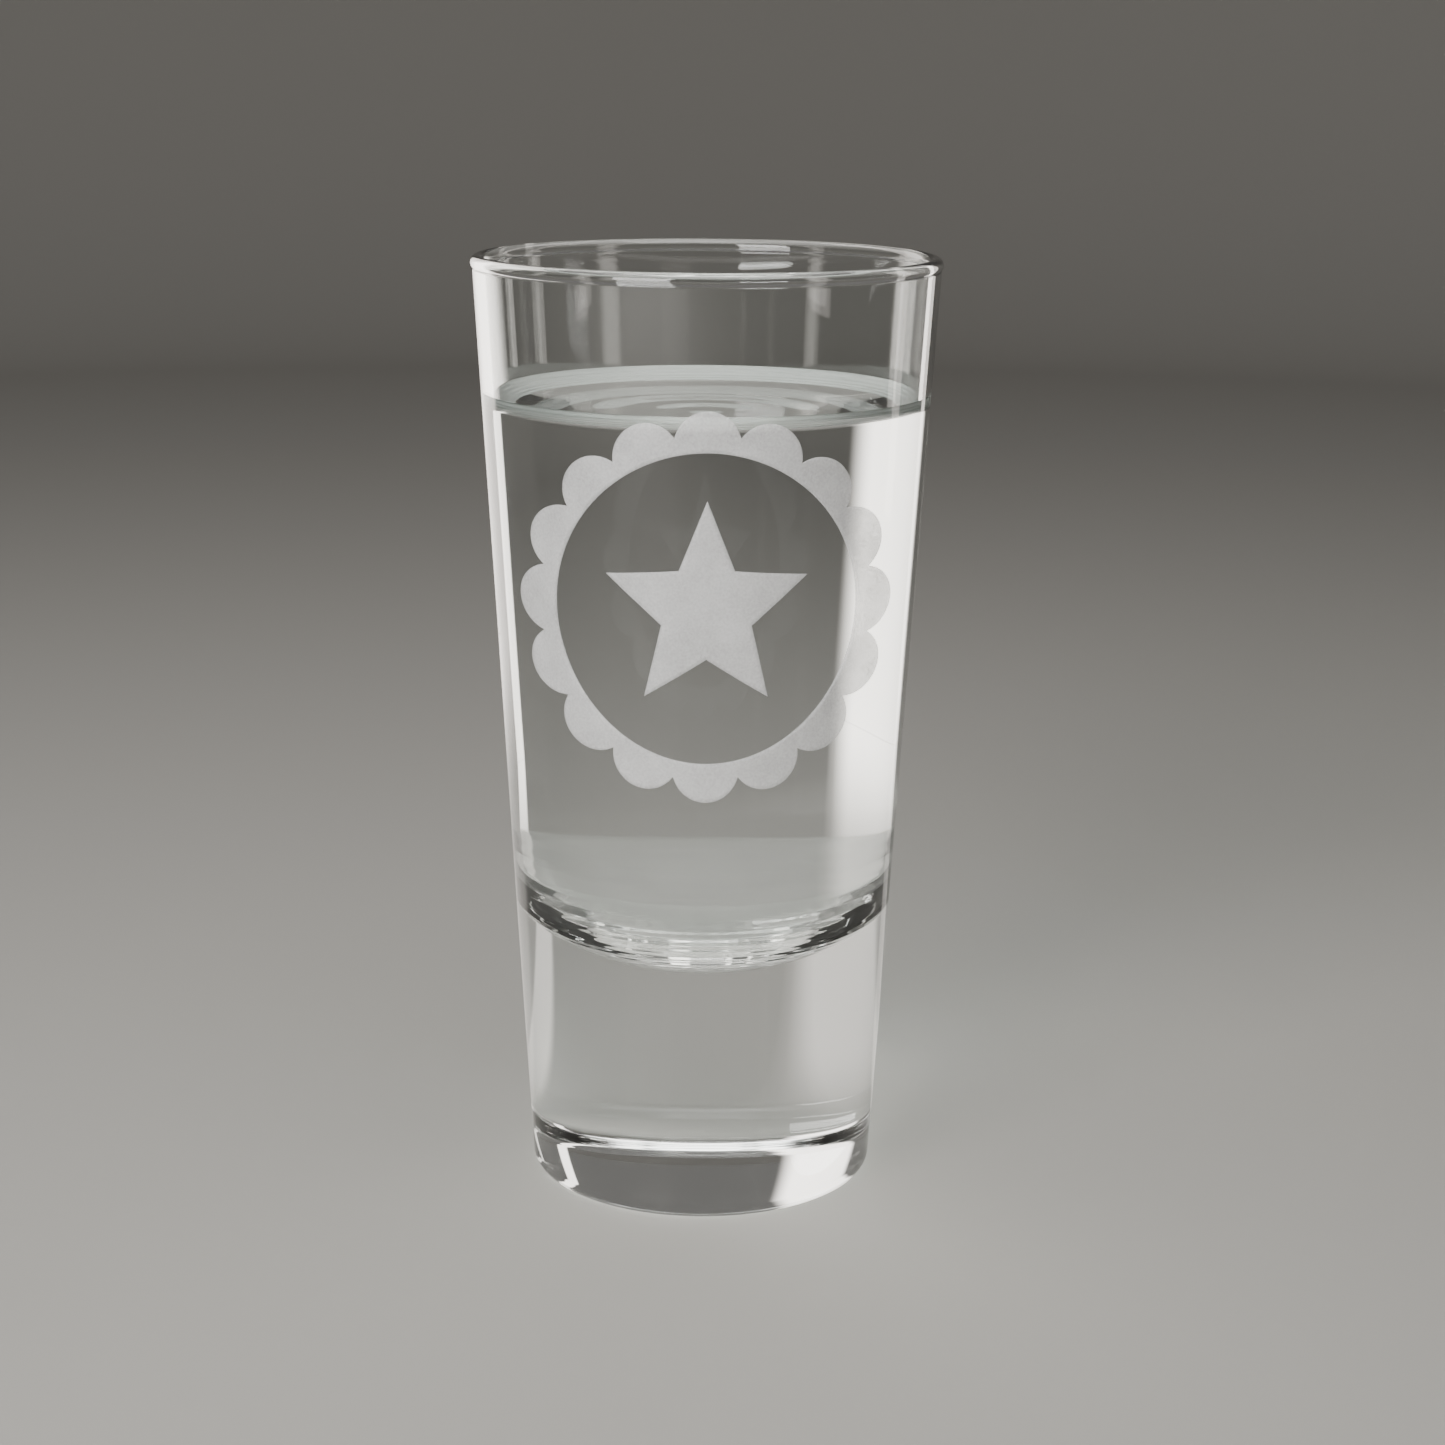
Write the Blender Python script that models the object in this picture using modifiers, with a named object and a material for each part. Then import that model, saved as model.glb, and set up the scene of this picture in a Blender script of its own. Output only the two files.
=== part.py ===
"""A tall shot glass: one pressed glass body with a heavy base, the drink that fills it, and a
frosted print of a scalloped ring and a star on its front.

Metres, +Z up. The origin is the centre of the foot on the surface that the glass stands on,
and the print faces -Y.
"""

import math

import bmesh
import bpy
from mathutils import Matrix, Vector

# Driving dimensions
HEIGHT = 0.090
BASE_RADIUS = 0.01677  # the outer wall, carried down to the foot
TOP_RADIUS = 0.02210  # the outer wall, carried up to the rim
WALL = 0.0012
BOWL_BOTTOM = 0.0221  # the solid glass under the lowest point of the cavity
BOWL_RADIUS = 0.0210  # the cavity's bottom is part of a sphere
BOWL_EDGE_RADIUS = 0.0012  # rounding where the bowl meets the wall

RIM_BEAD_RADIUS = 0.00072  # the round section of the fire-polished rim
RIM_OUTER_RADIUS = 0.0222

HEEL_RADIUS = 0.0012
PUNT_RADIUS = 0.0120  # the hollow under the foot
PUNT_DEPTH = 0.0004

DRINK_LEVEL = 0.0754  # the flat middle of the drink's surface
MENISCUS_RISE = 0.0020  # how far the drink climbs the wall
MENISCUS_REACH = 0.0050
GAP = 0.0003  # clearance between touching pieces

PRINT_HEIGHT = 0.0600  # the middle of the print
PRINT_THICKNESS = 0.0002
PRINT_SQUEEZE = 0.95  # the print's width over its height, seen from the front
RING_INNER_RADIUS = 0.0143
LOBE_COUNT = 16
LOBE_RADIUS = 0.0032
LOBE_CENTRE_RADIUS = 0.0148
STAR_POINTS = 5
STAR_OUTER_RADIUS = 0.0100
STAR_INNER_RADIUS = 0.0045
PRINT_MARGIN = 0.0020  # the shell that the print is cut from goes this far past it
PRINT_FRONT = 0.0250  # the outline cuts from here, in front of the axis, ...
PRINT_BACK = 0.0020  # ... to here, so that only the near wall is printed

TURN_STEPS = 72
ARC_STEPS = 8
CIRCLE_STEPS = 96
MERGE = 0.00001  # closer points than this are one
WALL_SLOPE = (TOP_RADIUS - BASE_RADIUS) / HEIGHT
SLOPE_DEG = math.degrees(math.atan(WALL_SLOPE))


def clear_scene():
    for obj in list(bpy.data.objects):
        bpy.data.objects.remove(obj)


def new_collection(name):
    collection = bpy.data.collections.new(name)
    bpy.context.scene.collection.children.link(collection)
    return collection


def material(name, colour, roughness, transmission):
    made = bpy.data.materials.new(name)
    made.use_nodes = True
    shader = made.node_tree.nodes["Principled BSDF"]
    shader.inputs["Base Color"].default_value = (*colour, 1.0)
    shader.inputs["Roughness"].default_value = roughness
    shader.inputs["Metallic"].default_value = 0.0
    shader.inputs["Transmission Weight"].default_value = transmission
    made.diffuse_color = (*colour, 1.0)
    return made


def outer_radius(z):
    return BASE_RADIUS + WALL_SLOPE * z


def inner_radius(z):
    return outer_radius(z) - WALL


def arc(centre_x, centre_z, radius, start_deg, end_deg, steps=ARC_STEPS):
    """Points (x, z) on an arc, from one angle to the other, both ends included."""
    points = []
    for i in range(steps + 1):
        angle = math.radians(start_deg + (end_deg - start_deg) * i / steps)
        points.append((centre_x + radius * math.cos(angle), centre_z + radius * math.sin(angle)))
    return points


def bowl(clearance):
    """The cavity's bottom, from the axis to the wall, this far inside the glass.

    The small edge arc touches the sphere from inside, and its centre lies on a line that runs
    along the wall. So the centre is where that line meets a circle round the sphere's centre.
    """
    centre_z = BOWL_BOTTOM + BOWL_RADIUS
    circle = BOWL_RADIUS - BOWL_EDGE_RADIUS
    line_x = inner_radius(0) - BOWL_EDGE_RADIUS / math.cos(math.radians(SLOPE_DEG))
    a = 1 + WALL_SLOPE**2
    b = line_x * WALL_SLOPE - centre_z
    c = line_x**2 + centre_z**2 - circle**2
    edge_z = (-b - math.sqrt(b**2 - a * c)) / a
    edge_x = line_x + WALL_SLOPE * edge_z
    turn_deg = math.degrees(math.atan2(edge_z - centre_z, edge_x))

    sphere = arc(0, centre_z, BOWL_RADIUS - clearance, -90, turn_deg, 2 * ARC_STEPS)
    edge = arc(edge_x, edge_z, BOWL_EDGE_RADIUS - clearance, turn_deg, -SLOPE_DEG, ARC_STEPS // 2)
    return [(0, BOWL_BOTTOM + clearance)] + sphere[1:] + edge[1:]


def rim_bead():
    """The round rim, over the top from the cavity's wall to the outer wall."""
    centre_x = RIM_OUTER_RADIUS - RIM_BEAD_RADIUS
    centre_z = HEIGHT - RIM_BEAD_RADIUS
    inner_offset = centre_x - inner_radius(centre_z)
    outer_offset = outer_radius(centre_z) - centre_x
    start_deg = 180 + math.degrees(math.acos(inner_offset / RIM_BEAD_RADIUS))
    end_deg = -math.degrees(math.acos(outer_offset / RIM_BEAD_RADIUS))
    return arc(centre_x, centre_z, RIM_BEAD_RADIUS, start_deg, end_deg, 2 * ARC_STEPS)


def heel_and_foot():
    """The rounded heel, then the foot ring and the hollow under the glass, to the axis."""
    heel_x = outer_radius(HEEL_RADIUS) - HEEL_RADIUS
    heel = arc(heel_x, HEEL_RADIUS, HEEL_RADIUS, 0, -90)
    hollow = []
    for i in range(ARC_STEPS + 1):
        share = 1 - i / ARC_STEPS
        hollow.append((PUNT_RADIUS * share, PUNT_DEPTH * (1 - share**2)))
    return heel + hollow


def glass_profile():
    """From the axis at the cavity's bottom, up inside, over the rim, down outside, to the axis."""
    return bowl(0) + rim_bead() + heel_and_foot()


def meniscus(edge_radius):
    """The drink's surface from the axis out to the wall, curling up at the edge."""
    flat_edge = edge_radius - MENISCUS_REACH
    points = [(0, DRINK_LEVEL)]
    for i in range(ARC_STEPS + 1):
        share = i / ARC_STEPS
        points.append((flat_edge + MENISCUS_REACH * share, DRINK_LEVEL + MENISCUS_RISE * share**3))
    return points


def drink_profile():
    """From the axis at the surface, out to the wall, down the side, and in along the bowl."""
    top = DRINK_LEVEL + MENISCUS_RISE
    return meniscus(inner_radius(top) - GAP) + bowl(GAP)[::-1]


def print_shell_profile():
    """A closed section of a thin cone that hugs the outer wall at the print's height."""
    half_height = LOBE_CENTRE_RADIUS + LOBE_RADIUS + PRINT_MARGIN
    low, high = PRINT_HEIGHT - half_height, PRINT_HEIGHT + half_height
    near, far = GAP, GAP + PRINT_THICKNESS
    return [
        (outer_radius(high) + far, high),
        (outer_radius(low) + far, low),
        (outer_radius(low) + near, low),
        (outer_radius(high) + near, high),
        (outer_radius(high) + far, high),
    ]


def turned(name, profile, collection):
    """A solid of revolution about Z, from (x, z) points that run down its outer side."""
    mesh = bpy.data.meshes.new(name)
    edges = [(i, i + 1) for i in range(len(profile) - 1)]
    mesh.from_pydata([(x, 0, z) for x, z in profile], edges, [])
    obj = bpy.data.objects.new(name, mesh)
    collection.objects.link(obj)
    screw = obj.modifiers.new("turn", "SCREW")
    screw.axis = "Z"
    screw.steps = TURN_STEPS
    screw.render_steps = TURN_STEPS
    screw.use_smooth_shade = True
    screw.use_merge_vertices = True
    screw.merge_threshold = MERGE
    return obj


def scalloped_outline():
    """The lobes' outer edge: equal arcs that meet in notches."""
    half_step = math.pi / LOBE_COUNT
    notch = LOBE_CENTRE_RADIUS * math.sin(half_step)
    notch_radius = LOBE_CENTRE_RADIUS * math.cos(half_step) + math.sqrt(LOBE_RADIUS**2 - notch**2)
    notch_point = Vector((notch_radius * math.sin(half_step), notch_radius * math.cos(half_step)))
    reach = math.atan2(notch_point.x, notch_point.y - LOBE_CENTRE_RADIUS)
    points = []
    for lobe in range(LOBE_COUNT):
        turn = Matrix.Rotation(-2 * half_step * lobe, 2)
        for i in range(ARC_STEPS):
            angle = reach * (2 * i / ARC_STEPS - 1)
            tip = Vector((math.sin(angle), math.cos(angle))) * LOBE_RADIUS
            points.append(turn @ (tip + Vector((0, LOBE_CENTRE_RADIUS))))
    return points


def circle_outline(radius):
    return [Vector(p) for p in arc(0, 0, radius, 0, 360, CIRCLE_STEPS)[:-1]]


def star_outline():
    points = []
    for i in range(2 * STAR_POINTS):
        radius = STAR_INNER_RADIUS if i % 2 else STAR_OUTER_RADIUS
        angle = math.pi * i / STAR_POINTS
        points.append(Vector((radius * math.sin(angle), radius * math.cos(angle))))
    return points


def flat_curve(name, outlines):
    """The print's outlines as one filled curve, as thick as the cut through the near wall."""
    curve = bpy.data.curves.new(name, "CURVE")
    curve.dimensions = "2D"
    curve.fill_mode = "BOTH"
    curve.extrude = (PRINT_FRONT - PRINT_BACK) / 2
    for outline in outlines:
        spline = curve.splines.new("POLY")
        spline.points.add(len(outline) - 1)
        for point, place in zip(spline.points, outline):
            point.co = (place.x * PRINT_SQUEEZE, place.y, 0, 1)
        spline.use_cyclic_u = True
    return curve


def printed(name, outlines, shell, collection):
    """A thin piece that follows the wall, cut from the shell by the outline seen from -Y."""
    guide = bpy.data.objects.new(name + "_outline", flat_curve(name, outlines))
    bpy.context.scene.collection.objects.link(guide)
    guide.location = (0, -(PRINT_FRONT + PRINT_BACK) / 2, PRINT_HEIGHT)
    guide.rotation_euler = (math.radians(90), 0, 0)
    bpy.context.view_layer.update()
    graph = bpy.context.evaluated_depsgraph_get()
    mesh = bpy.data.meshes.new_from_object(guide.evaluated_get(graph))
    mesh.name = name
    mesh.transform(guide.matrix_world)
    bpy.data.objects.remove(guide)

    prism = bmesh.new()
    prism.from_mesh(mesh)
    bmesh.ops.remove_doubles(prism, verts=prism.verts, dist=MERGE)
    bmesh.ops.recalc_face_normals(prism, faces=prism.faces)
    prism.to_mesh(mesh)
    prism.free()

    obj = bpy.data.objects.new(name, mesh)
    collection.objects.link(obj)
    cut = obj.modifiers.new("follow_wall", "BOOLEAN")
    cut.operation = "INTERSECT"
    cut.solver = "EXACT"
    cut.object = shell
    return obj


def main():
    clear_scene()
    parts = new_collection("shot_glass")
    helpers = new_collection("cutters")

    glass = material("clear_glass", (0.90, 0.95, 0.93), 0.03, 1.0)
    liquid = material("clear_liquid", (0.97, 0.98, 0.98), 0.0, 1.0)
    frosting = material("frosted_print", (0.86, 0.86, 0.87), 0.65, 0.0)

    turned("glass_body", glass_profile(), parts).data.materials.append(glass)
    turned("drink", drink_profile(), parts).data.materials.append(liquid)

    shell = turned("print_shell", print_shell_profile(), helpers)
    shell.hide_render = True
    shell.display_type = "WIRE"
    ring = [scalloped_outline(), circle_outline(RING_INNER_RADIUS)]
    printed("emblem_ring", ring, shell, parts).data.materials.append(frosting)
    printed("emblem_star", [star_outline()], shell, parts).data.materials.append(frosting)


main()
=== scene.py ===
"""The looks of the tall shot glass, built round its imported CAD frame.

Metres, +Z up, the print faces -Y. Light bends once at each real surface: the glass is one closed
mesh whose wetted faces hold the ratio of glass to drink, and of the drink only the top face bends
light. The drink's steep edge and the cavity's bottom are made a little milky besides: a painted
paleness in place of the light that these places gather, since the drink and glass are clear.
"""

import math

import bmesh
import bpy
from mathutils import Matrix, Vector


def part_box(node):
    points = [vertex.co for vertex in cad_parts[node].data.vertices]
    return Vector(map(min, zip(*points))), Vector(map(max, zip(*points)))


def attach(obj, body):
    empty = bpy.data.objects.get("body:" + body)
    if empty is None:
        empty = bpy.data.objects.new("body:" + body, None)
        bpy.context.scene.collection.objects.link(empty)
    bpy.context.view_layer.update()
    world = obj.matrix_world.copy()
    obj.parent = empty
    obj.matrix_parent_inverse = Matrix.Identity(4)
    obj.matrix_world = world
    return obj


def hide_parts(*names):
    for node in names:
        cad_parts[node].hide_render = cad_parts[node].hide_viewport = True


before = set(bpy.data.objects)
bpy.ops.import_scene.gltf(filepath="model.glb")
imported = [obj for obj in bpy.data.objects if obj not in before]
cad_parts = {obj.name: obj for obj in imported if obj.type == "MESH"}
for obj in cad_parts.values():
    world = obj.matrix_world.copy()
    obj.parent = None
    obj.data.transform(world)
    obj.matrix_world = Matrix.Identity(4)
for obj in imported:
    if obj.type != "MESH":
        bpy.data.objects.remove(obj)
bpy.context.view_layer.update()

# Sizes from the frame
GLASS_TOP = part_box("glass_body")[1]
RING_LOW, RING_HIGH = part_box("emblem_ring")
HEIGHT = GLASS_TOP.z
RIM_OUTER_RADIUS = GLASS_TOP.x
CONTACT_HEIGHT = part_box("drink")[1].z  # where the drink's raised edge meets the wall
PRINT_HEIGHT = (RING_LOW.z + RING_HIGH.z) / 2

# The glass, as in the CAD model
BASE_RADIUS = 0.01677
TOP_RADIUS = 0.02210
WALL = 0.0012
BOWL_BOTTOM = 0.0221  # the lowest point of the cavity, on the axis
BOWL_RADIUS = 0.0210
BOWL_EDGE_RADIUS = 0.0012  # the rounding between the bowl and the wall
RIM_BEAD_RADIUS = 0.00072
RIM_FILLET_RADIUS = 0.0006  # the soft hollow where the bead runs into the wall
HEEL_RADIUS = 0.0012
PUNT_RADIUS = 0.0120
PUNT_DEPTH = 0.0004
WALL_SLOPE = (TOP_RADIUS - BASE_RADIUS) / HEIGHT
SLOPE_ANGLE = math.atan(WALL_SLOPE)

# The drink
DRINK_LEVEL = 0.0754
CAPILLARY_LENGTH = 0.0022  # sets how far the raised edge reaches in from the wall
MENISCUS_STEP = 0.93  # each point's rise over that of the point before it
MENISCUS_SPAN = 0.9  # the share of the radius that the meniscus is worked out over
EDGE_START_RISE = 0.0007  # above this the surface gets the painted pale edge, in place of the light gathered there
DRINK_GAP = 0.00004  # the see-through side of the drink stands this far off the glass
SURFACE_OVERLAP = 0.00001  # the drink's top face runs this far into the glass

# The print
PRINT_SQUEEZE = 0.95
RING_INNER_RADIUS = 0.0143
LOBE_COUNT = 16
LOBE_RADIUS = 0.0032
LOBE_CENTRE_RADIUS = 0.0148
STAR_POINTS = 5
STAR_OUTER_RADIUS = 0.0100
STAR_INNER_RADIUS = 0.0045
PRINT_OFFSET = 0.00002
PRINT_THICKNESS = 0.00004
LOBE_STEPS, RING_ROWS = 32, 8
STAR_POINT_STEPS, STAR_ROWS = 48, 10

# Optics
GLASS_IOR = 1.52
DRINK_IOR = 1.345
GLASS_TINT = (0.975, 0.990, 0.983)
WETTED_TINT = (0.985, 0.995, 0.990)
# The cavity bottom's tint, which also colours its painted milky paleness.
BOWL_TINT = (0.96, 0.99, 0.975)
DRINK_TINT = (0.99, 0.995, 0.995)
# The drink's wet edge is painted pale and milky in this colour, in place of the light it gathers;
# the drink is clear.
EDGE_PAINTED_LIGHT_COLOUR = (0.78, 0.85, 0.82)
SHADOW_TINT = (0.74, 0.77, 0.76)  # what one surface lets through in the glass's shadow
BOWL_PAINTED_LIGHT_CLEARNESS = 0.96  # the share of the light that isn't scattered; the rest is a painted milkiness that lightens the cavity's bottom in place of light
# The share of the wet edge that stays clear; the rest is the painted milky paleness.
EDGE_PAINTED_LIGHT_CLEARNESS = 0.68
FROST_COLOUR = (0.86, 0.86, 0.87)
FROST_COVER = (0.28, 0.54)  # the print's thinnest and densest cover, for each of its two faces
GRAIN_SCALE, CLOUD_SCALE = 4500, 260

# Relief
BUMP_DEPTH = 0.0002
WALL_WAVE_SCALE, WALL_WAVE_STRENGTH = 60, 0.06
BOWL_RING_SPACING, BOWL_RING_STRENGTH = 0.0010, 0.12
RIPPLE_SPACING, RIPPLE_STRENGTH = 0.0055, 0.35
EDGE_LINE_SPACING, EDGE_LINE_STRENGTH = 0.0004, 0.25

# Fineness
TURN_STEPS = 288
ARC_STEPS = 28
FILLET_STEPS = 8
FLAT_MARGIN = 0.0002

# Studio and camera
FLOOR_COLOUR = (0.42, 0.41, 0.39)
FLOOR_RADII = (0.02, 0.3, 0.7)  # rings of the flat part; it bends up at the last
BACKDROP_BEND = 0.3  # the radius of the curve that turns the floor up
FLOOR_STEPS, BEND_STEPS = 128, 32
WORLD_COLOUR = (0.9, 0.87, 0.83)
WORLD_STRENGTH = 0.16
FLOOR_GAP = 0.0001  # the air film under the foot
LIGHT_COLOUR = (1, 0.985, 0.96)
CARD_COLOUR = (1, 0.94, 0.88)
CARD_HEIGHT = 0.45
CARD_FADE = 0.35  # the share of a card's half width over which each side fades out
STRIP_START_WIDTH = 0.019  # a strip's widest near end, under the glass
STRIP_START_FADE = 0.2  # the share of a strip's length over which its near end fades in
STRIP_ROWS, STRIP_COLUMNS = 60, 24
CAMERA_PLACE = Vector((-0.00228, -0.26760, 0.10983))
CAMERA_YAW = 0.0153
CAMERA_PITCH = 0.2382
CAMERA_ROLL = 0.0082
CAMERA_LENS = 70.34
SENSOR_WIDTH = 36.0


# ---------------------------------------------------------------- outlines


def outer_radius(z):
    return BASE_RADIUS + WALL_SLOPE * z


def inner_radius(z):
    return outer_radius(z) - WALL


def arc(centre_x, centre_z, radius, start, end, steps=ARC_STEPS):
    """Points (x, z) on an arc between two angles in radians, both ends included."""
    points = []
    for i in range(steps + 1):
        angle = start + (end - start) * i / steps
        points.append((centre_x + radius * math.cos(angle), centre_z + radius * math.sin(angle)))
    return points


def bowl(clearance=0.0):
    """The cavity's round bottom from the axis up to the wall, this far inside the glass."""
    centre_z = BOWL_BOTTOM + BOWL_RADIUS
    reach = BOWL_RADIUS - BOWL_EDGE_RADIUS
    # The edge's circle touches the bowl and the sloping wall: solve for the height of its centre.
    offset = BASE_RADIUS - WALL - BOWL_EDGE_RADIUS / math.cos(SLOPE_ANGLE)
    half_b = offset * WALL_SLOPE - centre_z
    c = offset**2 + centre_z**2 - reach**2
    a = 1 + WALL_SLOPE**2
    edge_z = (-half_b - math.sqrt(half_b**2 - a * c)) / a
    edge_x = offset + WALL_SLOPE * edge_z
    turn = math.atan2(edge_z - centre_z, edge_x)
    bottom = arc(0, centre_z, BOWL_RADIUS - clearance, -math.pi / 2, turn, 2 * ARC_STEPS)
    edge = arc(edge_x, edge_z, BOWL_EDGE_RADIUS - clearance, turn, -SLOPE_ANGLE, ARC_STEPS // 2)
    return [(0, BOWL_BOTTOM + clearance)] + bottom[1:] + edge[1:]


def rim():
    """The round bead, over the top, with a small fillet down to the wall outside."""
    centre_x = RIM_OUTER_RADIUS - RIM_BEAD_RADIUS
    centre_z = HEIGHT - RIM_BEAD_RADIUS
    inner_offset = centre_x - inner_radius(centre_z)
    start = math.pi + math.acos(min(1.0, inner_offset / RIM_BEAD_RADIUS))
    # The fillet's circle touches the bead from outside and the wall from outside.
    reach = RIM_BEAD_RADIUS + RIM_FILLET_RADIUS
    side = outer_radius(centre_z) * math.cos(SLOPE_ANGLE) - centre_x * math.cos(SLOPE_ANGLE)
    drop = math.sqrt(reach**2 - (side + RIM_FILLET_RADIUS) ** 2)
    along = Vector((-math.sin(SLOPE_ANGLE), -math.cos(SLOPE_ANGLE)))
    outward = Vector((math.cos(SLOPE_ANGLE), -math.sin(SLOPE_ANGLE)))
    fillet = Vector((centre_x, centre_z)) + along * drop + outward * (side + RIM_FILLET_RADIUS)
    end = math.atan2(fillet.y - centre_z, fillet.x - centre_x)
    bead = arc(centre_x, centre_z, RIM_BEAD_RADIUS, start, end, 2 * ARC_STEPS)
    start, end = end + math.pi, math.pi - SLOPE_ANGLE
    hollow = arc(fillet.x, fillet.y, RIM_FILLET_RADIUS, start, end, FILLET_STEPS)
    return bead + hollow[1:]


def heel_and_foot():
    """The rounded heel, the flat foot ring, and the shallow hollow inside it, to the axis."""
    heel_x = outer_radius(HEEL_RADIUS) - HEEL_RADIUS
    heel = arc(heel_x, HEEL_RADIUS, HEEL_RADIUS, -SLOPE_ANGLE, -math.pi / 2)
    hollow = []
    for i in range(ARC_STEPS):
        share = 1 - i / ARC_STEPS
        hollow.append((PUNT_RADIUS * share, PUNT_DEPTH * (1 - share**2)))
    return heel + hollow + [(0, PUNT_DEPTH)]


def straight(start, end):
    """Two points on a straight stretch, near its ends, so that its shading stays flat."""
    a, b = Vector(start), Vector(end)
    step = (b - a).normalized() * FLAT_MARGIN
    return [tuple(a + step), tuple(b - step)]


def glass_profile():
    """From the axis at the cavity's bottom, up inside, over the rim, down outside, to the axis."""
    bottom, lip, foot = bowl(), rim(), heel_and_foot()
    contact = (inner_radius(CONTACT_HEIGHT), CONTACT_HEIGHT)
    inside = straight(bottom[-1], contact) + [contact] + straight(contact, lip[0])
    return bottom + inside + lip + straight(lip[-1], foot[0]) + foot


def meniscus():
    """The surface from the wall inwards: the rise of a wetting liquid at a flat wall."""
    length = CAPILLARY_LENGTH
    top = CONTACT_HEIGHT - DRINK_LEVEL
    edge = inner_radius(CONTACT_HEIGHT)

    def distance(height):
        return length * (math.acosh(2 * length / height) - math.sqrt(4 - (height / length) ** 2))

    points = [(edge + SURFACE_OVERLAP, CONTACT_HEIGHT), (edge, CONTACT_HEIGHT)]
    height = top
    while distance(height) - distance(top) < edge * MENISCUS_SPAN:
        height *= MENISCUS_STEP
        points.append((edge - distance(height) + distance(top), DRINK_LEVEL + height))
    return points[:-1] + [(0, DRINK_LEVEL)]


def drink_profile():
    """From the axis on the surface, out to the wall, down just inside the glass, to the axis."""
    surface = meniscus()[::-1]
    top = (inner_radius(CONTACT_HEIGHT) - DRINK_GAP, CONTACT_HEIGHT - DRINK_GAP)
    return surface + [top] + bowl(DRINK_GAP)[::-1], len(surface)


# ---------------------------------------------------------------- meshes


def turned(name, profile, slot_of):
    """A closed solid of revolution. slot_of(i) is the material slot of the band after point i."""
    mesh = bpy.data.meshes.new(name)
    form = bmesh.new()
    rings = []
    for x, z in profile:
        if x == 0:
            rings.append([form.verts.new((0, 0, z))])
            continue
        ring = []
        for i in range(TURN_STEPS):
            angle = 2 * math.pi * i / TURN_STEPS
            ring.append(form.verts.new((x * math.sin(angle), -x * math.cos(angle), z)))
        rings.append(ring)
    for i, (ring, after) in enumerate(zip(rings, rings[1:])):
        for j in range(TURN_STEPS):
            k = (j + 1) % TURN_STEPS
            corners = [ring[j % len(ring)], ring[k % len(ring)]]
            corners += [after[k % len(after)], after[j % len(after)]]
            face = form.faces.new(list(dict.fromkeys(corners)))
            face.material_index = slot_of(i)
            face.smooth = True
    bmesh.ops.recalc_face_normals(form, faces=form.faces)
    form.to_mesh(mesh)
    form.free()
    return placed(name, mesh)


def placed(name, mesh):
    obj = bpy.data.objects.new(name, mesh)
    bpy.context.scene.collection.objects.link(obj)
    return obj


def on_wall(u, v, lift):
    """The point of the wall behind artwork point (u, v), seen from -Y, lifted off the glass."""
    x, z = u * PRINT_SQUEEZE, PRINT_HEIGHT + v
    radius = outer_radius(z) + lift
    return Vector((x, -math.sqrt(radius**2 - x**2), z))


def printed(name, inner, outer, around, across):
    """A thin closed shell on the wall, between two outlines given as radius of angle."""
    mesh = bpy.data.meshes.new(name)
    form = bmesh.new()
    layers = []
    for lift in (PRINT_OFFSET, PRINT_OFFSET + PRINT_THICKNESS):
        rings = []
        for j in range(across + 1):
            ring = []
            for i in range(around):
                angle = 2 * math.pi * i / around
                radius = inner(angle) + (outer(angle) - inner(angle)) * j / across
                spot = on_wall(radius * math.sin(angle), radius * math.cos(angle), lift)
                ring.append(form.verts.new(spot))
                if radius == 0:
                    break
            rings.append(ring)
        layers.append(rings)
    under, over = layers
    for rings in layers:
        for ring, after in zip(rings, rings[1:]):
            join_rings(form, ring, after, around)
    join_rings(form, under[-1], over[-1], around)
    if len(under[0]) > 1:
        join_rings(form, under[0], over[0], around)
    bmesh.ops.recalc_face_normals(form, faces=form.faces)
    form.to_mesh(mesh)
    form.free()
    return placed(name, mesh)


def join_rings(form, ring, after, around):
    for i in range(around):
        k = (i + 1) % around
        corners = [ring[i % len(ring)], ring[k % len(ring)]]
        corners += [after[k % len(after)], after[i % len(after)]]
        form.faces.new(list(dict.fromkeys(corners))).smooth = True


def scallop(angle):
    """The lobed edge's radius at an angle from the top."""
    step = 2 * math.pi / LOBE_COUNT
    off = (angle + step / 2) % step - step / 2
    side = LOBE_CENTRE_RADIUS * math.sin(off)
    return LOBE_CENTRE_RADIUS * math.cos(off) + math.sqrt(LOBE_RADIUS**2 - side**2)


def star(angle):
    """The star's edge radius at an angle from its top point."""
    step = 2 * math.pi / STAR_POINTS
    off = abs((angle + step / 2) % step - step / 2)
    tip = Vector((0, STAR_OUTER_RADIUS))
    valley = Vector((math.sin(step / 2), math.cos(step / 2))) * STAR_INNER_RADIUS
    edge = valley - tip
    ray = Vector((math.sin(off), math.cos(off)))
    return (tip.x * edge.y - tip.y * edge.x) / (ray.x * edge.y - ray.y * edge.x)


# ---------------------------------------------------------------- materials


def new_material(name):
    made = bpy.data.materials.new(name)
    made.use_nodes = True
    return made, made.node_tree.nodes, made.node_tree.links


def slow_waves(nodes, links, shader):
    """Slow waves in the glass, longer along its height, from noise in the object's own space."""
    place = nodes.new("ShaderNodeTexCoord")
    mapping = nodes.new("ShaderNodeMapping")
    mapping.inputs["Scale"].default_value = (1, 1, 0.35)
    noise = nodes.new("ShaderNodeTexNoise")
    noise.inputs["Scale"].default_value = WALL_WAVE_SCALE
    noise.inputs["Detail"].default_value = 1.5
    links.new(place.outputs["Object"], mapping.inputs["Vector"])
    links.new(mapping.outputs["Vector"], noise.inputs["Vector"])
    add_bump(nodes, links, shader, noise.outputs["Fac"], WALL_WAVE_STRENGTH)


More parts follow.
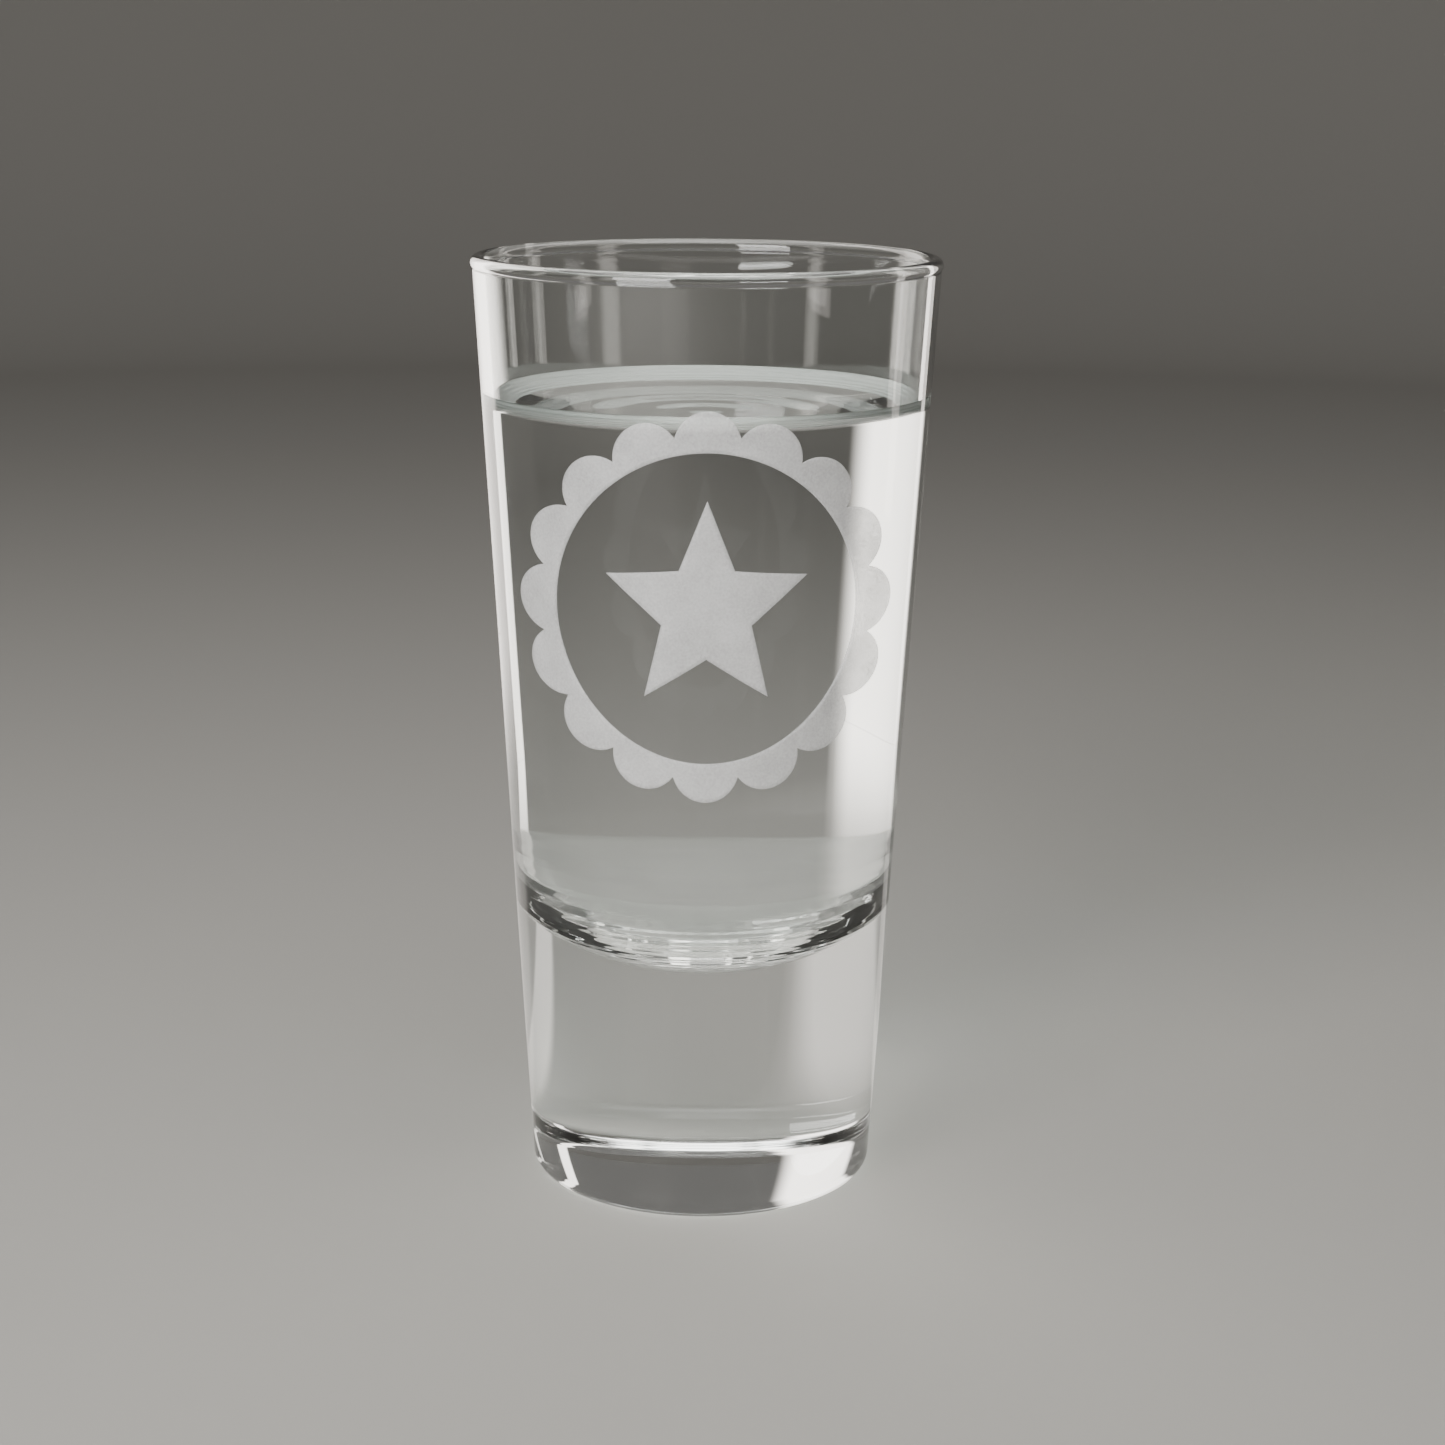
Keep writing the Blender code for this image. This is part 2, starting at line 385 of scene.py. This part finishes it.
def round_waves(nodes, links, shader, spacing, strength):
    """Faint round waves about the glass's axis, this far apart."""
    place = nodes.new("ShaderNodeTexCoord")
    wave = nodes.new("ShaderNodeTexWave")
    wave.wave_type = "RINGS"
    wave.rings_direction = "Z"
    # At scale 1 the texture's rings are pi / 10 apart.
    wave.inputs["Scale"].default_value = math.pi / 10 / spacing
    links.new(place.outputs["Object"], wave.inputs["Vector"])
    add_bump(nodes, links, shader, wave.outputs["Fac"], strength)


def add_bump(nodes, links, shader, height, strength):
    bump = nodes.new("ShaderNodeBump")
    bump.inputs["Strength"].default_value = strength
    bump.inputs["Distance"].default_value = BUMP_DEPTH
    links.new(height, bump.inputs["Height"])
    links.new(bump.outputs["Normal"], shader.inputs["Normal"])


def clear_material(name, colour, ior):
    """Clear and glossy, with a soft see-through shadow in place of a black one."""
    made, nodes, links = new_material(name)
    shader = nodes["Principled BSDF"]
    shader.inputs["Base Color"].default_value = (*colour, 1)
    shader.inputs["Roughness"].default_value = 0.0
    shader.inputs["IOR"].default_value = ior
    shader.inputs["Transmission Weight"].default_value = 1.0
    shade = nodes.new("ShaderNodeBsdfTransparent")
    shade.inputs["Color"].default_value = (*SHADOW_TINT, 1)
    path = nodes.new("ShaderNodeLightPath")
    mix = nodes.new("ShaderNodeMixShader")
    links.new(path.outputs["Is Shadow Ray"], mix.inputs["Fac"])
    links.new(shader.outputs["BSDF"], mix.inputs[1])
    links.new(shade.outputs["BSDF"], mix.inputs[2])
    links.new(mix.outputs["Shader"], nodes["Material Output"].inputs["Surface"])
    return made, nodes, links, shader


def glass_material():
    made, nodes, links, shader = clear_material("clear_glass", GLASS_TINT, GLASS_IOR)
    slow_waves(nodes, links, shader)
    return made


def wetted_glass_material():
    made, nodes, links, shader = clear_material("wetted_glass", WETTED_TINT, GLASS_IOR / DRINK_IOR)
    slow_waves(nodes, links, shader)
    return made


def bowl_glass_material():
    """The cavity's bottom under the drink: a trace of painted milkiness that lightens it in place of
    light, and faint rings round the axis.
    """
    made, nodes, links, shader = clear_material("bowl_glass", BOWL_TINT, GLASS_IOR / DRINK_IOR)
    shader.inputs["Transmission Weight"].default_value = BOWL_PAINTED_LIGHT_CLEARNESS
    round_waves(nodes, links, shader, BOWL_RING_SPACING, BOWL_RING_STRENGTH)
    return made


def drink_surface_material():
    made, nodes, links, shader = clear_material("clear_liquid", DRINK_TINT, DRINK_IOR)
    round_waves(nodes, links, shader, RIPPLE_SPACING, RIPPLE_STRENGTH)
    return made


def painted_light_edge_material():
    """The steep wet edge at the wall: partly milky, a painted pale band in place of the light that
    the clear edge gathers.
    """
    made, nodes, links = new_material("painted_light_edge")
    shader = nodes["Principled BSDF"]
    shader.inputs["Base Color"].default_value = (*EDGE_PAINTED_LIGHT_COLOUR, 1)
    shader.inputs["Roughness"].default_value = 0.15
    shader.inputs["IOR"].default_value = DRINK_IOR
    shader.inputs["Transmission Weight"].default_value = EDGE_PAINTED_LIGHT_CLEARNESS
    round_waves(nodes, links, shader, EDGE_LINE_SPACING, EDGE_LINE_STRENGTH)
    return made


def see_through_material():
    made, nodes, links = new_material("liquid_at_glass")
    nodes.remove(nodes["Principled BSDF"])
    clear = nodes.new("ShaderNodeBsdfTransparent")
    links.new(clear.outputs["BSDF"], nodes["Material Output"].inputs["Surface"])
    return made


def frosted_material():
    """Matt translucent white with a fine grain and faint cloudiness."""
    made, nodes, links = new_material("frosted_print")
    shader = nodes["Principled BSDF"]
    shader.inputs["Base Color"].default_value = (*FROST_COLOUR, 1)
    shader.inputs["Roughness"].default_value = 0.6
    place = nodes.new("ShaderNodeTexCoord")
    grain = nodes.new("ShaderNodeTexNoise")
    grain.inputs["Scale"].default_value = GRAIN_SCALE
    grain.inputs["Detail"].default_value = 2
    cloud = nodes.new("ShaderNodeTexNoise")
    cloud.inputs["Scale"].default_value = CLOUD_SCALE
    cloud.inputs["Detail"].default_value = 3
    blend = nodes.new("ShaderNodeMath")
    blend.operation = "ADD"
    cover = nodes.new("ShaderNodeMapRange")
    cover.inputs["From Min"].default_value = 0.6
    cover.inputs["From Max"].default_value = 1.4
    cover.inputs["To Min"].default_value = FROST_COVER[0]
    cover.inputs["To Max"].default_value = FROST_COVER[1]
    links.new(place.outputs["Object"], grain.inputs["Vector"])
    links.new(place.outputs["Object"], cloud.inputs["Vector"])
    links.new(grain.outputs["Fac"], blend.inputs[0])
    links.new(cloud.outputs["Fac"], blend.inputs[1])
    links.new(blend.outputs["Value"], cover.inputs["Value"])
    links.new(cover.outputs["Result"], shader.inputs["Alpha"])
    return made


def floor_material():
    made, nodes, links = new_material("pale_floor")
    shader = nodes["Principled BSDF"]
    shader.inputs["Base Color"].default_value = (*FLOOR_COLOUR, 1)
    shader.inputs["Roughness"].default_value = 0.9
    shader.inputs["Specular IOR Level"].default_value = 0.0
    return made


# ---------------------------------------------------------------- pieces


def build_glass(dry, wetted, bottom):
    profile = glass_profile()
    contact = profile.index((inner_radius(CONTACT_HEIGHT), CONTACT_HEIGHT))
    bowl_end = len(bowl()) - 1

    def slot_of(i):
        if i >= contact:
            return 0
        return 2 if i < bowl_end else 1

    obj = turned("glass", profile, slot_of)
    for layer in (dry, wetted, bottom):
        obj.data.materials.append(layer)
    return obj


def build_drink(surface, side, edge):
    profile, top_points = drink_profile()

    def slot_of(i):
        if i >= top_points - 1:
            return 1
        # Slot 2 is the steep edge with its painted pale band, which stands in for light.
        return 2 if profile[i][1] > DRINK_LEVEL + EDGE_START_RISE else 0

    obj = turned("drink_fill", profile, slot_of)
    for layer in (surface, side, edge):
        obj.data.materials.append(layer)
    return obj


def build_prints(frosting):
    around = LOBE_STEPS * LOBE_COUNT
    ring = printed("frosted_ring", lambda angle: RING_INNER_RADIUS, scallop, around, RING_ROWS)
    around = STAR_POINT_STEPS * STAR_POINTS
    middle = printed("frosted_star", lambda angle: 0.0, star, around, STAR_ROWS)
    for obj in (ring, middle):
        obj.data.materials.append(frosting)
    return ring, middle


def fit(obj, node):
    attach(obj, "root")
    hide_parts(node)


# ---------------------------------------------------------------- studio


def studio_floor():
    """A pale round floor that curves up into a backdrop all round."""
    mesh = bpy.data.meshes.new("floor")
    form = bmesh.new()
    profile = [(radius, 0) for radius in FLOOR_RADII]
    profile += arc(FLOOR_RADII[-1], BACKDROP_BEND, BACKDROP_BEND, -math.pi / 2, 0, BEND_STEPS)[1:]
    centre = form.verts.new((0, 0, -FLOOR_GAP))
    rings = []
    for x, z in profile:
        ring = []
        for i in range(FLOOR_STEPS):
            angle = 2 * math.pi * i / FLOOR_STEPS
            ring.append(form.verts.new((x * math.sin(angle), x * math.cos(angle), z - FLOOR_GAP)))
        rings.append(ring)
    join_rings(form, [centre], rings[0], FLOOR_STEPS)
    for ring, after in zip(rings, rings[1:]):
        join_rings(form, ring, after, FLOOR_STEPS)
    bmesh.ops.recalc_face_normals(form, faces=form.faces)
    form.to_mesh(mesh)
    form.free()
    obj = placed("floor", mesh)
    obj.data.materials.append(floor_material())


def soft_light(name, place, target, width, height, power):
    light = bpy.data.lights.new(name, "AREA")
    light.shape = "RECTANGLE"
    light.size, light.size_y = width, height
    light.energy = power
    light.color = LIGHT_COLOUR
    obj = bpy.data.objects.new(name, light)
    bpy.context.scene.collection.objects.link(obj)
    obj.location = place
    obj.rotation_euler = (Vector(target) - Vector(place)).to_track_quat("-Z", "Y").to_euler()
    obj.visible_camera = False
    return obj


def fade_sides(light):
    """Dim the light towards its left and right edges, so that its reflections have soft sides."""
    light.use_nodes = True
    nodes, links = light.node_tree.nodes, light.node_tree.links
    place = nodes.new("ShaderNodeNewGeometry")
    split = nodes.new("ShaderNodeSeparateXYZ")
    side = nodes.new("ShaderNodeMath")
    side.operation = "PINGPONG"
    side.inputs[1].default_value = 0.5
    fade = nodes.new("ShaderNodeMapRange")
    fade.interpolation_type = "SMOOTHSTEP"
    fade.inputs["From Max"].default_value = CARD_FADE / 2
    links.new(place.outputs["Parametric"], split.inputs["Vector"])
    links.new(split.outputs["X"], side.inputs[0])
    links.new(side.outputs["Value"], fade.inputs["Value"])
    links.new(fade.outputs["Result"], nodes["Emission"].inputs["Strength"])


def glass_card(name, azimuth, half_angle, distance, brightness, floor_brightness):
    """A tall bright card with a dimmer strip on the floor between it and the glass.

    They only show in and through the glass. Angles are in degrees, left of straight behind.
    """
    turn = math.radians(azimuth)
    away = Vector((-math.sin(turn), math.cos(turn), 0))
    half_width = distance * math.tan(math.radians(half_angle))
    middle = Vector((0, 0, CARD_HEIGHT / 2))
    place = away * distance + middle
    power = brightness * math.pi * 2 * half_width * CARD_HEIGHT
    card = soft_light(name, place, middle, 2 * half_width, CARD_HEIGHT, power)
    card.visible_diffuse = False
    card.data.color = CARD_COLOUR
    fade_sides(card.data)
    if floor_brightness > 0:
        floor_strip(name + "_strip", away * distance, half_width, floor_brightness, brightness)


def smoothstep(share):
    share = min(max(share, 0.0), 1.0)
    return share * share * (3 - 2 * share)


def floor_strip(name, reach, half_width, near_brightness, far_brightness):
    """A strip of light added to the floor, from under the glass to the foot of its card."""
    aside = Vector((reach.y, -reach.x, 0)).normalized()
    half_start = min(half_width, STRIP_START_WIDTH / 2)
    points, glows, faces = [], [], []
    for j in range(STRIP_ROWS + 1):
        along = j / STRIP_ROWS
        half = half_start + (half_width - half_start) * along
        level = near_brightness + (far_brightness - near_brightness) * smoothstep(2 * along - 1)
        for i in range(STRIP_COLUMNS + 1):
            across = 2 * i / STRIP_COLUMNS - 1
            points.append(reach * along + aside * half * across + Vector((0, 0, -FLOOR_GAP / 2)))
            fade = smoothstep((1 - abs(across)) / CARD_FADE) * smoothstep(along / STRIP_START_FADE)
            glows.append(level * fade)
    for j in range(STRIP_ROWS):
        for i in range(STRIP_COLUMNS):
            first = j * (STRIP_COLUMNS + 1) + i
            after = first + STRIP_COLUMNS + 1
            faces.append((first, first + 1, after + 1, after))
    mesh = bpy.data.meshes.new(name)
    mesh.from_pydata(points, [], faces)
    mesh.attributes.new("glow", "FLOAT", "POINT").data.foreach_set("value", glows)
    made, nodes, links = new_material(name)
    nodes.remove(nodes["Principled BSDF"])
    level = nodes.new("ShaderNodeAttribute")
    level.attribute_name = "glow"
    glow = nodes.new("ShaderNodeEmission")
    glow.inputs["Color"].default_value = (*CARD_COLOUR, 1)
    clear = nodes.new("ShaderNodeBsdfTransparent")
    both = nodes.new("ShaderNodeAddShader")
    links.new(level.outputs["Fac"], glow.inputs["Strength"])
    links.new(glow.outputs["Emission"], both.inputs[0])
    links.new(clear.outputs["BSDF"], both.inputs[1])
    links.new(both.outputs["Shader"], nodes["Material Output"].inputs["Surface"])
    mesh.materials.append(made)
    obj = placed(name, mesh)
    obj.visible_camera = False
    obj.visible_diffuse = False
    obj.visible_shadow = False


def studio_lights():
    middle = (0, 0, 0.06)
    soft_light("key", (-0.26, -0.42, 0.24), middle, width=0.25, height=0.25, power=3.4)
    soft_light("top", (0.02, -0.10, 0.40), (0, 0, 0), width=0.28, height=0.28, power=0.9)
    overhead = soft_light("overhead", (0, 0.05, 0.5), (0, 0, 0.05), width=0.7, height=0.7, power=3.8)
    overhead.visible_diffuse = False
    # Name, azimuth, half angle, distance, brightness, brightness that is added to the floor
    glass_card("left_card", 34, 18, 0.24, 4.0, 0.7)
    glass_card("right_card", -40, 3.5, 0.22, 3.5, 0.7)
    glass_card("far_right_card", -72, 4, 0.30, 3.0, 0.0)
    glass_card("front_left_card", 118, 4, 0.45, 2.5, 0.0)
    glass_card("front_right_card", -125, 6, 0.45, 2.5, 0.0)
    world = bpy.data.worlds.new("studio")
    bpy.context.scene.world = world
    world.use_nodes = True
    world.node_tree.nodes["Background"].inputs["Color"].default_value = (*WORLD_COLOUR, 1)
    world.node_tree.nodes["Background"].inputs["Strength"].default_value = WORLD_STRENGTH


def photo_camera():
    camera = bpy.data.cameras.new("camera")
    camera.sensor_width = SENSOR_WIDTH
    camera.lens = CAMERA_LENS
    camera.clip_start = 0.01
    obj = bpy.data.objects.new("camera", camera)
    bpy.context.scene.collection.objects.link(obj)
    level = math.cos(CAMERA_PITCH)
    yaw_sin, yaw_cos = math.sin(CAMERA_YAW), math.cos(CAMERA_YAW)
    forward = Vector((yaw_sin * level, yaw_cos * level, -math.sin(CAMERA_PITCH)))
    right = Vector((yaw_cos, -yaw_sin, 0))
    up = right.cross(forward)
    roll_cos, roll_sin = math.cos(CAMERA_ROLL), math.sin(CAMERA_ROLL)
    right, up = right * roll_cos + up * roll_sin, up * roll_cos - right * roll_sin
    turn = Matrix((right, up, -forward)).transposed().to_4x4()
    obj.matrix_world = Matrix.Translation(CAMERA_PLACE) @ turn
    bpy.context.scene.camera = obj


def main():
    photo_camera()
    studio_floor()
    studio_lights()
    glass = build_glass(glass_material(), wetted_glass_material(), bowl_glass_material())
    fit(glass, "glass_body")
    drink = build_drink(drink_surface_material(), see_through_material(), painted_light_edge_material())
    fit(drink, "drink")
    ring, middle = build_prints(frosted_material())
    fit(ring, "emblem_ring")
    fit(middle, "emblem_star")


main()
